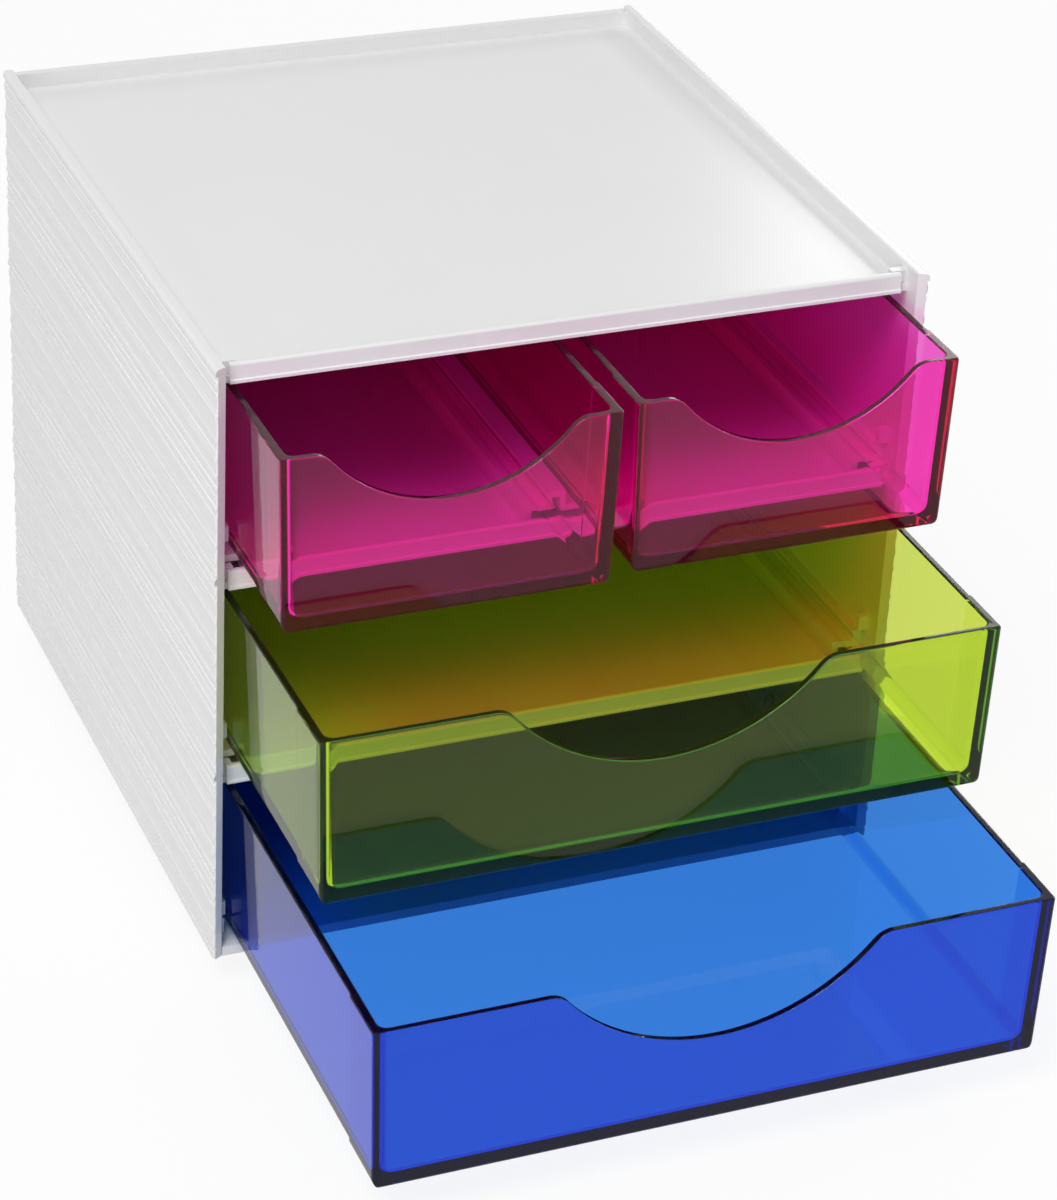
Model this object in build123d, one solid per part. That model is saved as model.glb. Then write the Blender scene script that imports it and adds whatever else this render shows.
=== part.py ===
from build123d import *
import math
import os

# Desk organizer: three stacked white housings on a swivel foot, with a tray on top
# and four clear coloured drawers. Millimetres, +Z up, -Y is the front.
# The origin is on the swivel axis, on the surface that the foot stands on.
# The drawers are modelled as far open as the photograph shows them.

# ---------------------------------------------------------------- driving sizes

# casing
casing_width = 180.0
casing_depth = 182.0
level_pitch = 54.0
level_count = 3
side_wall = 2.75
back_wall = 2.0
shelf_thickness = 1.8
tray_drop = 4.9          # from the top of the side walls down to the shelf or tray floor

# ribbed outside of the side walls
rib_depth = 0.6
ribs_per_level = 28
rib_narrow = 0.55        # relative height of the narrowest band
rib_wide = 2.1           # relative height of the widest band
rib_lean = 0.3           # how far the face of a band leans back towards its top
rib_slope = 0.35         # height over which a band rises out of its groove
smooth_top = 1.8         # plain strip above the ribs
seam_bevel = 0.35        # lower edge of each side wall, a fine dark line at the joint
top_bevel = 1.0          # upper outer edge of each side wall
edge_bevel = 0.6         # upright edges of the side walls
front_slant = 1.1        # the front of each side wall leans back towards the drawers

# rim round each shelf: a front lip between the side walls, and a low back lip
lip_setback = 5.0        # front face of the lip behind the front of the side walls
lip_thickness = 1.8
lip_below_top = 1.5
lip_height = 5.0
lip_edge_radius = 0.7
lip_bead = 0.35          # fine bead along the lip's lower edge
lip_bead_height = 0.8
lip_notch = 3.0          # width of the stepped-back end beside each side wall
lip_notch_depth = 2.2
lip_corner_radius = 2.0
back_lip_below_top = 0.8
seam_gap = 0.2           # between a back wall and the back lip under it

# runners moulded to the side walls, one pair under each upper drawer level
runner_width = 9.0
runner_top = 0.5         # above the foot of its own housing
runner_skin = 1.8
guide_height = 4.5       # guide strip beside the drawer, above the foot of the housing
stack_play = 0.1         # between a runner and the recess that it drops into
snap_bead = 0.6          # bead that clicks a housing into the one below
snap_bead_height = 1.2
rear_stop = 2.7          # ribs that a closed drawer meets
rear_stop_width = 12.0
rear_stop_height = 30.0

# base plate, held between the lowest side walls by a tongue in a groove
base_plate_thickness = 2.6
base_tongue = 0.9
base_tongue_height = 1.2
base_play = 0.1

# drawers
drawer_slack = 0.3       # under a drawer, and behind a closed one
guide_slack = 0.45       # between a drawer's side and its guide strip
side_gap = 2.05          # between a drawer's top edge and the side wall
drawer_wall = 1.9
drawer_floor = 2.2
drawer_draft = 1.0       # each side leans out by this much from bottom to top
drawer_corner = 3.0      # rounding along the bottom of each side, seen from the front
drawer_edge = 1.0        # rounding round the front and back faces
inner_corner = 3.0
inner_upright = 2.4
front_band = 16.0        # length of the slightly wider part behind the front face
front_band_step = 0.4
wide_drawer_height = 43.6
half_drawer_height = 44.6
half_drawer_gap = 4.2    # between the two half-width drawers, at their top edges
wide_scoop_width = 86.0
wide_scoop_depth = 20.0
half_scoop_width = 67.0
half_scoop_depth = 15.5
scoop_shoulder = 6.0

# how far each drawer's front stands out of the side walls in the photograph
open_top_left = 30.0
open_top_right = 27.6
open_middle = 60.5
open_bottom = 99.5

# stops that keep a length of each drawer inside at full reach
drawer_hold = 35.0
stop_setback = 6.0       # from the front of the side wall to the fixed stop
stop_length = 2.0
stop_height = 4.0
stop_reach = 1.35        # how far the two stops overlap sideways
stop_above_guide = 1.5

# centre guide between the half-width drawers
centre_rail_width = 18.0
centre_rail_skin = 1.5
peg_radius = 1.5
peg_play = 0.1
peg_count = 3

# swivel
foot_radius = 70.0
foot_thickness = 3.6
foot_edge = 0.8
pad_radius = 62.0
pad_thickness = 1.5
pad_proud = 1.0
race_radius = 66.0
race_thickness = 3.0
track_radius = 56.0
ball_radius = 2.0
ball_count = 8
groove_depth = 1.3
track_play = 0.1
cage_thickness = 0.8
cage_width = 8.0
cage_play = 0.15
hub_radius = 18.0
hub_gap = 0.4            # between the foot's raised hub and the race above it
pivot_radius = 6.0
pivot_play = 0.06
pivot_floor = 2.0        # thickness of the foot between washer and race
washer_radius = 9.5
washer_thickness = 0.8
washer_gap = 0.3
well_play = 1.0          # round the washer, in the foot's well
pivot_screw_radius = 2.0
screw_play = 0.15
pivot_head_radius = 4.0
pivot_head_height = 1.1
nut_width = 7.0
nut_thickness = 2.1
nut_play = 0.1

# screws that hold the upper race to the base plate
race_screw_count = 4
race_screw_circle = 42.0
race_screw_radius = 1.4
race_head_radius = 2.8
race_head_height = 0.9
race_head_recess = 0.6
boss_radius = 5.0
boss_drop = 1.6
boss_play = 0.1
screw_end_skin = 0.6     # plate left over the end of a screw

# ------------------------------------------------------------- worked-out places

ball_stand = ball_radius - groove_depth
foot_underside = pad_proud
foot_top = foot_underside + foot_thickness
ball_z = foot_top + ball_stand
race_underside = ball_z + ball_stand
casing_floor = race_underside + race_thickness

outer_x = casing_width / 2
inner_x = outer_x - side_wall
front_y = -casing_depth / 2
back_y = casing_depth / 2
inner_back_y = back_y - back_wall
wide_drawer_width = 2 * (inner_x - side_gap)
lip_front_y = front_y + lip_setback
lip_back_y = lip_front_y + lip_thickness
drawer_length = casing_depth - back_wall - rear_stop - drawer_slack


def level_floor(level):
    """Height of the foot of a housing: 0 is the lowest."""
    return casing_floor + level * level_pitch


def drawer_rest(level):
    """Height of the underside of the drawer on a level."""
    if level == 0:
        return level_floor(0) + base_plate_thickness + drawer_slack
    return level_floor(level) + runner_top + drawer_slack


def block(x0, x1, y0, y1, z0, z1):
    """Rectangular block between two corners."""
    size = Box(x1 - x0, y1 - y0, z1 - z0)
    return Pos((x0 + x1) / 2, (y0 + y1) / 2, (z0 + z1) / 2) * size


def along_y(points, y0, y1):
    """Outline of (x, z) points, carried along the depth from y0 to y1."""
    outline = Plane.XZ * Polygon(*points, align=None)
    return Pos(0, y1, 0) * extrude(outline, y1 - y0)


def disc(radius, z0, z1, x=0.0, y=0.0):
    """Upright round disc or pin between two heights."""
    return Pos(x, y, (z0 + z1) / 2) * Cylinder(radius, z1 - z0)


def mirrored(solid):
    """A solid for the right side together with its twin on the left."""
    return solid + mirror(solid, Plane.YZ)


def on_circle(count, radius, first_angle):
    """Places spread evenly round the swivel axis."""
    places = []
    for index in range(count):
        angle = math.radians(first_angle + 360.0 * index / count)
        places.append((radius * math.cos(angle), radius * math.sin(angle)))
    return places


# ------------------------------------------------------------------- the casing


def band_heights():
    """Heights of the uneven bands of one level, from the bottom up."""
    golden = (math.sqrt(5) - 1) / 2
    weights = []
    for index in range(ribs_per_level):
        spread = math.modf((index + 1) * golden)[0]
        weights.append(rib_narrow + (rib_wide - rib_narrow) * spread ** 3)
    ribbed = level_pitch - seam_bevel - smooth_top
    return [ribbed * weight / sum(weights) for weight in weights]


def side_wall_outline(z0):
    """Cross-section of the right side wall, ribbed outside, smooth inside."""
    z1 = z0 + level_pitch
    points = [(inner_x, z0), (outer_x - seam_bevel, z0)]
    z = z0 + seam_bevel
    for height in band_heights():
        slope = min(rib_slope, height / 2)
        points.append((outer_x - rib_depth, z))
        points.append((outer_x, z + slope))
        points.append((outer_x - rib_lean, z + height))
        z += height
    points.append((outer_x, z + rib_slope))
    points.append((outer_x, z1 - top_bevel))
    points.append((outer_x - top_bevel, z1))
    points.append((inner_x + seam_bevel, z1))
    points.append((inner_x, z1 - seam_bevel))
    return points


def side_wall_plan(z0):
    """The same wall from above: its upright edges are bevelled."""
    outline = Polygon(
        (inner_x, front_y + front_slant + edge_bevel / 2),
        (inner_x + edge_bevel / 2, front_y + front_slant),
        (outer_x - edge_bevel, front_y),
        (outer_x, front_y + edge_bevel),
        (outer_x, back_y - edge_bevel),
        (outer_x - edge_bevel, back_y),
        (inner_x, back_y),
        align=None,
    )
    return Pos(0, 0, z0) * extrude(outline, level_pitch)


def front_lip(z1):
    """Lip along the front of a shelf, with stepped-back ends beside the walls."""
    lip_top = z1 - lip_below_top
    lip_bottom = lip_top - lip_height
    half = inner_x - lip_notch
    bar = block(-half, half, lip_front_y, lip_back_y, lip_bottom, lip_top)
    corners = bar.edges().filter_by(Axis.Y).group_by(Axis.Z)[-1]
    bar = fillet(corners, lip_corner_radius)
    front_face = bar.faces().sort_by(Axis.Y)[0]
    top_edges = front_face.edges().filter_by(lambda edge: edge.center().Z > lip_bottom + lip_height / 2)
    bar = fillet(top_edges, lip_edge_radius)
    bead_top = lip_bottom + lip_bead_height
    bead = block(-half, half, lip_front_y - lip_bead, lip_front_y, lip_bottom, bead_top)
    bead = chamfer(bead.faces().sort_by(Axis.Y)[0].edges().filter_by(Axis.X), lip_bead / 2)
    web_back = lip_back_y + lip_notch_depth
    web = block(-inner_x, inner_x, lip_back_y, web_back, lip_bottom, lip_top)
    web = fillet(web.edges().filter_by(Axis.X).group_by(Axis.Z)[-1], lip_edge_radius)
    hollow_top = z1 - tray_drop
    reach = half - lip_thickness
    hollow = block(-reach, reach, lip_back_y, web_back, hollow_top, lip_top)
    return bar + bead + (web - hollow)


def stop_height_range(level):
    """Lower and upper height of the stops beside a drawer."""
    low = level_floor(level) + guide_top(level) + stop_above_guide
    return low, low + stop_height


def guide_top(level):
    """Top of a guide strip, above the foot of its housing."""
    if level == 0:
        return guide_height + base_plate_thickness
    return guide_height


def lean_at_guide(height):
    """How far the side of a closed drawer of this height stands in, beside the guide strips."""
    return drawer_draft * (1 - guide_height / height)


def guide_x():
    """Inner face of the guide strips and of the fixed stops."""
    return wide_drawer_width / 2 - lean_at_guide(wide_drawer_height) + guide_slack


def runner_outline(z0):
    """Hat-shaped runner: drops into the recess below and carries the drawer."""
    foot = z0 - tray_drop + stack_play
    skirt_x = inner_x - stack_play
    edge_x = inner_x - runner_width
    top = z0 + runner_top
    return [
        (edge_x, foot),
        (edge_x + runner_skin, foot),
        (edge_x + runner_skin, top - runner_skin),
        (guide_x(), top - runner_skin),
        (guide_x(), foot),
        (skirt_x, foot),
        (skirt_x, z0),
        (inner_x, z0),
        (inner_x, z0 + guide_height),
        (guide_x(), z0 + guide_height),
        (guide_x(), top),
        (edge_x, top),
    ]


def bead_outline(z0, grow):
    """Snap bead on a runner's skirt, or with grow its groove in the wall below."""
    middle = z0 - tray_drop / 2
    half = snap_bead_height / 2 + grow
    tip = inner_x - stack_play + snap_bead + grow
    root = inner_x - stack_play - grow
    return [(root, middle - half), (tip, middle - half / 3), (tip, middle + half / 3), (root, middle + half)]


def tongue_outline(grow):
    """Tongue along the side of the base plate, or with grow its groove."""
    low = casing_floor + (base_plate_thickness - base_tongue_height) / 2 - grow
    high = low + base_tongue_height + 2 * grow
    tip = inner_x - base_play + base_tongue + grow
    root = inner_x - base_play - grow
    slant = base_tongue_height / 4
    return [(root, low), (tip, low + slant), (tip, high - slant), (root, high)]


runner_front_y = lip_back_y + lip_notch_depth + stack_play
runner_back_y = inner_back_y


def drawer_centres(level):
    """Middle of each drawer on a level."""
    if level == level_count - 1:
        half_width = (wide_drawer_width - 2 * front_band_step - half_drawer_gap) / 2
        offset = (half_drawer_gap + half_width) / 2
        return [-offset, offset]
    return [0.0]


def housing(level):
    """One storey of the casing: shelf with its rim, two ribbed walls and a back."""
    z0 = level_floor(level)
    z1 = z0 + level_pitch
    wall = along_y(side_wall_outline(z0), front_y, back_y) & side_wall_plan(z0)
    shelf_top = z1 - tray_drop
    shelf_foot = shelf_top - shelf_thickness
    shelf = block(-inner_x, inner_x, lip_back_y, inner_back_y, shelf_foot, shelf_top)
    back_foot = z0
    if level > 0:
        back_foot = z0 - back_lip_below_top + seam_gap
    back = block(-inner_x, inner_x, inner_back_y, back_y, back_foot, z1 - back_lip_below_top)
    body = mirrored(wall) + shelf + back + front_lip(z1)
    if level > 0:
        runner = along_y(runner_outline(z0), runner_front_y, runner_back_y)
        bead = along_y(bead_outline(z0, 0.0), runner_front_y, runner_back_y)
        body += mirrored(runner + bead)
    else:
        guide_foot = z0 + base_plate_thickness + base_play
        guide = block(guide_x(), inner_x, lip_back_y, inner_back_y, guide_foot, z0 + guide_top(0))
        body += mirrored(guide)
        groove = along_y(tongue_outline(base_play), lip_front_y, inner_back_y)
        body -= mirrored(groove)
    if level < level_count - 1:
        body -= mirrored(along_y(bead_outline(z1, stack_play), runner_front_y - stack_play, runner_back_y))
    stop_low, stop_high = stop_height_range(level)
    stop_y = front_y + stop_setback
    body += mirrored(block(guide_x(), inner_x, stop_y, stop_y + stop_length, stop_low, stop_high))
    rib_y = inner_back_y - rear_stop
    rib_foot = drawer_rest(level) + drawer_corner
    rib_top = rib_foot + rear_stop_height
    for centre in drawer_centres(level):
        left = centre - rear_stop_width / 2
        body += block(left, left + rear_stop_width, rib_y, inner_back_y, rib_foot, rib_top)
    if level == level_count - 2:
        for y in peg_places():
            body -= disc(peg_radius + peg_play, shelf_foot, shelf_top, 0, y)
    return body


def peg_places():
    """Where the centre guide's pegs enter the shelf below it."""
    length = runner_back_y - runner_front_y
    return [runner_front_y + length * (index + 0.5) / peg_count for index in range(peg_count)]


def centre_guide():
    """Hat-shaped rail with a hollow fin, between the two half-width drawers."""
    z0 = level_floor(level_count - 1)
    foot = z0 - tray_drop
    top = z0 + runner_top
    half = centre_rail_width / 2
    fin = half_drawer_gap / 2 + lean_at_guide(half_drawer_height) - guide_slack
    fin_top = z0 + guide_height
    outer = [
        (half, foot),
        (half, top),
        (fin, top),
        (fin, fin_top),
        (-fin, fin_top),
        (-fin, top),
        (-half, top),
        (-half, foot),
    ]
    skin = centre_rail_skin
    inner = [
        (half - skin, foot),
        (half - skin, top - skin),
        (fin - skin, top - skin),
        (fin - skin, fin_top - skin),
        (skin - fin, fin_top - skin),
        (skin - fin, top - skin),
        (skin - half, top - skin),
        (skin - half, foot),
    ]
    back = inner_back_y - rear_stop
    rail = along_y(outer, runner_front_y, back) - along_y(inner, runner_front_y, back)
    for y in peg_places():
        web = block(skin - fin, fin - skin, y - peg_radius, y + peg_radius, foot, fin_top - skin)
        rail += web + disc(peg_radius, foot - shelf_thickness, foot, 0, y)
    return rail


def base_plate():
    """Floor of the lowest storey; carries the bosses for the upper race."""
    z0 = casing_floor
    z1 = z0 + base_plate_thickness
    half = inner_x - base_play
    plate = block(-half, half, front_y + front_slant, inner_back_y - base_play, z0, z1)
    tongue = along_y(tongue_outline(0.0), lip_front_y + base_play, inner_back_y - base_play)
    plate += mirrored(tongue)
    for x, y in on_circle(race_screw_count, race_screw_circle, 45):
        plate += disc(boss_radius, z0 - boss_drop, z0, x, y)
        plate -= disc(race_screw_radius, z0 - boss_drop, z1 - screw_end_skin, x, y)
    return plate


# ------------------------------------------------------------------ the drawers


def tub_outline(width, height, floor, top, corner):
    """Front view of a drawer, or of the space in it: sides lean out, corners round."""
    slope = drawer_draft / height
    low = width / 2 - drawer_draft + slope * floor
    high = width / 2 - drawer_draft + slope * top
    outline = Plane.XZ * Polygon((-low, floor), (low, floor), (high, top), (-high, top), align=None)
    return fillet(outline.vertices().group_by(Axis.Z)[0], corner)


def scoop_cutter(width, depth, height):
    """Finger scoop: a wide arc that meets the top edge in two rounded shoulders."""
    reach = ((width / 2) ** 2 + depth ** 2) / (2 * depth)
    radius = reach - scoop_shoulder
    centre_z = height - depth + radius
    shoulder_z = height - scoop_shoulder
    turn = math.atan2(centre_z - shoulder_z, width / 2)
    touch_x = -width / 2 + scoop_shoulder * math.cos(turn)
    touch_z = shoulder_z + scoop_shoulder * math.sin(turn)
    half_turn = (turn + math.pi / 2) / 2
    bend_x = -width / 2 + scoop_shoulder * math.cos(half_turn)
    bend_z = shoulder_z + scoop_shoulder * math.sin(half_turn)
    over = height + scoop_shoulder
    outline = make_face([
        Line((-width / 2, over), (-width / 2, height)),
        ThreePointArc((-width / 2, height), (bend_x, bend_z), (touch_x, touch_z)),
        ThreePointArc((touch_x, touch_z), (0, height - depth), (-touch_x, touch_z)),
        ThreePointArc((-touch_x, touch_z), (-bend_x, bend_z), (width / 2, height)),
        Line((width / 2, height), (width / 2, over)),
        Line((width / 2, over), (-width / 2, over)),
    ])
    return Plane.XZ * outline


def tub(width, height, scoop_width, scoop_depth):
    """A drawer with its front face on y = 0 and its underside on z = 0."""
    front_outline = tub_outline(width, height, 0, height, drawer_corner)
    front = Pos(0, front_band, 0) * extrude(front_outline, front_band)
    front = fillet(front.faces().sort_by(Axis.Y)[0].edges(), drawer_edge)
    body_width = width - 2 * front_band_step
    body_outline = tub_outline(body_width, height, 0, height, drawer_corner)
    body = Pos(0, drawer_length, 0) * extrude(body_outline, drawer_length)
    back_edges = body.faces().sort_by(Axis.Y)[-1].edges()
    body = fillet(back_edges.sort_by(Axis.Z)[:-1], drawer_edge)
    body -= block(-width, width, 0, front_band / 2, 0, height)
    over = height + 2 * inner_upright
    space_width = body_width - 2 * drawer_wall
    space_outline = tub_outline(space_width, height, drawer_floor, over, inner_corner)
    space_back = drawer_length - drawer_wall
    space = Pos(0, space_back, 0) * extrude(space_outline, space_back - drawer_wall)
    ends = space.faces().sort_by(Axis.Y)
    space = fillet(ends[0].edges() + ends[-1].edges(), inner_upright)
    scoop = extrude(scoop_cutter(scoop_width, scoop_depth, height), 2 * front_band, both=True)
    scoop = scoop & block(-width, width, -front_band, front_band, -height, 2 * height)
    return front + body - space - scoop


def stop_nub(level, side):
    """Nub on a drawer's side that meets the casing's stop at full reach."""
    low, high = stop_height_range(level)
    rest = drawer_rest(level)
    root = wide_drawer_width / 2 - front_band_step - drawer_draft - drawer_wall / 2
    tip = guide_x() + stop_reach
    nub_y = drawer_length - drawer_hold + stop_setback + stop_length
    nub = block(root, tip, nub_y, nub_y + stop_length, low - rest, high - rest)
    if side < 0:
        nub = mirror(nub, Plane.YZ)
    return nub


def wide_drawer(level, opened):
    """A drawer over the whole width of its level."""
    solid = tub(wide_drawer_width, wide_drawer_height, wide_scoop_width, wide_scoop_depth)
    solid += stop_nub(level, 1) + stop_nub(level, -1)
    return Pos(0, front_y - opened, drawer_rest(level)) * solid


def half_drawer(side, opened):
    """One of the pair of half-width drawers on the top level."""
    level = level_count - 1
    centre = drawer_centres(level)[-1]
    width = (wide_drawer_width - 2 * front_band_step - half_drawer_gap) / 2
    solid = Pos(side * centre, 0, 0) * tub(width, half_drawer_height, half_scoop_width, half_scoop_depth)
    solid += stop_nub(level, side)
    return Pos(0, front_y - opened, drawer_rest(level)) * solid


# ------------------------------------------------------------------- the swivel


def ball_track():
    """Eight-sided channel round the balls: each plate has its half, with sloping flanks."""
    channel = RegularPolygon(ball_radius + track_play, 8, major_radius=False, rotation=22.5)
    return revolve(Plane.XZ * Pos(track_radius, ball_z) * channel, Axis.Z)


well_top = race_underside - hub_gap - pivot_floor
washer_top = well_top - washer_gap
washer_foot = washer_top - washer_thickness


def swivel_foot():
    """Round foot plate that stays still, with its ball track and raised hub."""
    plate = disc(foot_radius, foot_underside, foot_top)
    plate = chamfer(plate.edges().group_by(Axis.Z)[-1], foot_edge)
    plate += disc(hub_radius, foot_top, race_underside - hub_gap)
    plate -= disc(pad_radius + base_play, foot_underside, pad_thickness)
    plate -= disc(washer_radius + well_play, foot_underside, well_top)
    plate -= disc(pivot_radius + pivot_play, foot_underside, race_underside)
    return plate - ball_track()


def foot_pad():
    """Soft disc under the foot that keeps it from slipping."""
    pad = disc(pad_radius, 0, pad_thickness)
    well = disc(washer_radius + well_play, washer_foot - pivot_head_height - washer_gap, pad_thickness)
    return pad - well


def upper_race():
    """Plate that turns on the balls, screwed under the base plate."""
    plate = disc(race_radius, race_underside, casing_floor)
    plate = chamfer(plate.edges().group_by(Axis.Z)[0], foot_edge)
    plate -= ball_track()
    for x, y in on_circle(race_screw_count, race_screw_circle, 45):
        plate -= disc(boss_radius + boss_play, casing_floor - boss_drop - boss_play, casing_floor, x, y)
        plate -= disc(race_screw_radius + screw_play, race_underside, casing_floor, x, y)
        plate -= disc(race_head_radius + screw_play, race_underside, race_underside + race_head_recess, x, y)
    plate -= disc(pivot_screw_radius + screw_play, race_underside, casing_floor)
    hexagon = RegularPolygon((nut_width + nut_play) / 2, 6, major_radius=False)
    pocket_height = nut_thickness + nut_play
    return plate - Pos(0, 0, casing_floor - pocket_height) * extrude(hexagon, pocket_height)


def race_screws():
    """Four pan-head screws from the race up into the base plate's bosses."""
    seat = race_underside + race_head_recess
    end = casing_floor + base_plate_thickness - screw_end_skin
    screws = []
    for x, y in on_circle(race_screw_count, race_screw_circle, 45):
        head = disc(race_head_radius, seat - race_head_height, seat, x, y)
        head = chamfer(head.edges().group_by(Axis.Z)[0], race_head_height / 3)
        screws.append(head + disc(race_screw_radius, seat, end - screw_play, x, y))
    return Compound(screws)


def pivot_bush():
    """Plain sleeve that the foot turns on, clamped between washer and race."""
    sleeve = disc(pivot_radius, washer_top, race_underside)
    return sleeve - disc(pivot_screw_radius + screw_play, washer_top, race_underside)


def pivot_washer():
    """Washer that holds the foot up when the organizer is lifted."""
    ring = disc(washer_radius, washer_foot, washer_top)
    return ring - disc(pivot_screw_radius + screw_play, washer_foot, washer_top)


def pivot_screw():
    """Screw on the swivel axis."""
    head = disc(pivot_head_radius, washer_foot - pivot_head_height, washer_foot)
    head = chamfer(head.edges().group_by(Axis.Z)[0], pivot_head_height / 3)
    return head + disc(pivot_screw_radius, washer_foot, casing_floor - screw_play)


def pivot_nut():
    """Hexagon nut in the race's pocket, kept in by the base plate."""
    nut = extrude(RegularPolygon(nut_width / 2, 6, major_radius=False), nut_thickness)
    nut = Pos(0, 0, casing_floor - nut_thickness) * nut
    return nut - disc(pivot_screw_radius + screw_play, casing_floor - nut_thickness, casing_floor)


def bearing_balls():
    """Ring of steel balls between the two plates."""
    places = on_circle(ball_count, track_radius, 0)
    return Compound([Pos(x, y, ball_z) * Sphere(ball_radius) for x, y in places])


def ball_cage():
    """Thin ring that keeps the balls apart."""
    low = ball_z - cage_thickness / 2
    high = ball_z + cage_thickness / 2
    ring = disc(track_radius + cage_width / 2, low, high) - disc(track_radius - cage_width / 2, low, high)
    for x, y in on_circle(ball_count, track_radius, 0):
        ring -= disc(ball_radius + cage_play, low, high, x, y)
    return ring


# ---------------------------------------------------------------- write the parts

pieces = {
    "top_housing": housing(2),
    "middle_housing": housing(1),
    "bottom_housing": housing(0),
    "base_plate": base_plate(),
    "centre_guide": centre_guide(),
    "drawer_top_left": half_drawer(-1, open_top_left),
    "drawer_top_right": half_drawer(1, open_top_right),
    "drawer_middle": wide_drawer(1, open_middle),
    "drawer_bottom": wide_drawer(0, open_bottom),
    "upper_race": upper_race(),
    "race_screws": race_screws(),
    "swivel_foot": swivel_foot(),
    "foot_pad": foot_pad(),
    "pivot_bush": pivot_bush(),
    "pivot_washer": pivot_washer(),
    "pivot_screw": pivot_screw(),
    "pivot_nut": pivot_nut(),
    "bearing_balls": bearing_balls(),
    "ball_cage": ball_cage(),
}

os.makedirs("parts", exist_ok=True)
for name, solid in pieces.items():
    export_step(solid, "parts/" + name + ".step")

reach = drawer_length - drawer_hold
print("casing underside", round(casing_floor, 3))
print("drawer length", round(drawer_length, 3), "full reach", round(reach, 3))
for level in range(level_count):
    print("level", level, "drawer underside", round(drawer_rest(level), 3))
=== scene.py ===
# %% [markdown]
# This is a desk organizer: three white moulded housings stacked on a swivel foot, with a shallow tray on
# top, and four clear coloured drawers. The construction model is loaded first and stays fixed. It says
# where every piece is, so each piece made below takes its place and its size from it.

# %% Load the fixed frame
import math
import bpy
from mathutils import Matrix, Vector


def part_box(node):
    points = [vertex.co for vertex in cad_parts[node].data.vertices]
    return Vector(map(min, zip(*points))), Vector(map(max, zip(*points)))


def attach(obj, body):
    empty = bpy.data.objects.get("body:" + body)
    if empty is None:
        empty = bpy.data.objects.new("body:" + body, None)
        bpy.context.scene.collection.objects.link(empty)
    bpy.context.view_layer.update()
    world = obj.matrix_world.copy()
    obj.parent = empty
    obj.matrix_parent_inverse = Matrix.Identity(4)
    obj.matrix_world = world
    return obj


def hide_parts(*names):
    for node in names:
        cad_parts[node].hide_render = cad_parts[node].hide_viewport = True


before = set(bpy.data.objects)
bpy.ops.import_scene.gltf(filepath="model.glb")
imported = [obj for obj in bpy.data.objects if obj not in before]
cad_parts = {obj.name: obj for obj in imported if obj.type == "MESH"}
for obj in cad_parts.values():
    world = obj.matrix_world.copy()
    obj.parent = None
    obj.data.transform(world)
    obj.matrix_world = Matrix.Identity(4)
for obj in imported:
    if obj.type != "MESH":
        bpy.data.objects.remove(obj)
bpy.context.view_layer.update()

from types import SimpleNamespace

import bmesh
import bpy
from mathutils import Matrix, Vector

MM = 0.001

# %% [markdown]
# The camera comes early, because every later choice is judged through it. The photograph was taken with
# a long lens from the front left, about thirty degrees above the desk. The camera's place and its three
# angles were solved from the corners of the casing, whose sizes are known.

# %% Camera
camera_place = Vector((-326.4, -821.3, 558.3)) * MM
camera_turn = math.radians(-23.378)
camera_tilt = math.radians(30.065)
camera_roll = math.radians(3.054)
focal_length = 114.4
film_width = 36.0
nearest_seen = 0.01

look = Vector((
    -math.sin(camera_turn) * math.cos(camera_tilt),
    math.cos(camera_turn) * math.cos(camera_tilt),
    -math.sin(camera_tilt),
))
level_right = look.cross(Vector((0, 0, 1))).normalized()
level_up = level_right.cross(look)
right = math.cos(camera_roll) * level_right + math.sin(camera_roll) * level_up
up = math.cos(camera_roll) * level_up - math.sin(camera_roll) * level_right

camera_data = bpy.data.cameras.new("camera")
camera_data.lens = focal_length
camera_data.sensor_width = film_width
camera_data.clip_start = nearest_seen
camera = bpy.data.objects.new("camera", camera_data)
bpy.context.scene.collection.objects.link(camera)
turned = Matrix((right, up, -look)).transposed().to_4x4()
camera.matrix_world = Matrix.Translation(camera_place) @ turned
bpy.context.scene.camera = camera
print("camera stands", round(camera_place.length, 3), "m from the swivel axis")

# %% [markdown]
# Node trees are built by the same few moves again and again: add a node, feed its sockets from other
# nodes or with plain values, do a sum. A few small helpers keep the trees below readable.

# %% Helpers for node trees
def feed(tree, node, values):
    """Fill a node's inputs, by name or number: an output is linked, any other value is set."""
    for name, value in values.items():
        socket = node.inputs[name]
        if isinstance(value, bpy.types.NodeSocket):
            tree.links.new(value, socket)
        else:
            socket.default_value = value


def add_node(tree, kind, values=None, **settings):
    """Add a node, set its properties and fill its inputs."""
    made = tree.nodes.new(kind)
    for name, value in settings.items():
        setattr(made, name, value)
    feed(tree, made, values or {})
    return made


def calc(tree, operation, *values):
    """One Math node with its values; gives its output."""
    return add_node(tree, "ShaderNodeMath", dict(enumerate(values)), operation=operation).outputs[0]


def noise(tree, place, scale, detail=2.0):
    """A noise texture; gives its value."""
    values = {"Vector": place, "Scale": scale, "Detail": detail}
    return add_node(tree, "ShaderNodeTexNoise", values).outputs["Fac"]


def mixed(tree, share, first, second):
    """Two shaders mixed; a share of 1 is all of the second."""
    return add_node(tree, "ShaderNodeMixShader", {0: share, 1: first, 2: second}).outputs["Shader"]


def declare(tree, direction, sockets):
    """Declare named inputs or outputs of a node group: a name and a kind each, and perhaps a value."""
    for name, kind, *value in sockets:
        made = tree.interface.new_socket(name, in_out=direction, socket_type="NodeSocket" + kind)
        if value:
            made.default_value = value[0]


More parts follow.
